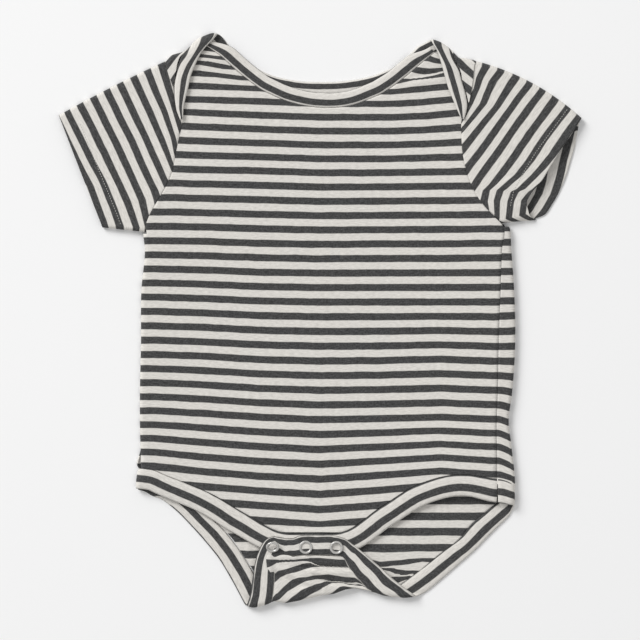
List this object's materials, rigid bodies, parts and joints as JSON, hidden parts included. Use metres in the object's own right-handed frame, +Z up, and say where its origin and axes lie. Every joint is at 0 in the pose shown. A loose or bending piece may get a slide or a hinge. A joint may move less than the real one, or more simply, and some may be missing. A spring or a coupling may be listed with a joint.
{
  "type": "baby bodysuit",
  "caption": "Short-sleeved baby bodysuit with shoulder flaps that cross over the neck band and a crotch flap with ring snaps, laid flat on its back",
  "frame": {"origin": "centre of the garment's outline, on the surface it lies on", "axes": "+X to the right and +Y toward the neck as seen from above, +Z up off the surface"},
  "size_m": [0.3444, 0.3792, 0.0071],
  "materials": {
    "cloth": "matte striped jersey",
    "binding": "matte rib knit",
    "snap": "satin"
  },
  "bodies": {
    "root": {"back_panel": "cloth", "front_panel": "cloth", "left_sleeve": "cloth", "right_sleeve": "cloth", "back_neck_binding": "binding", "front_neck_binding": "binding", "back_leg_binding": "binding", "front_leg_binding": "binding", "snap_left": "snap", "snap_middle": "snap", "snap_right": "snap"}
  },
  "joints": []
}
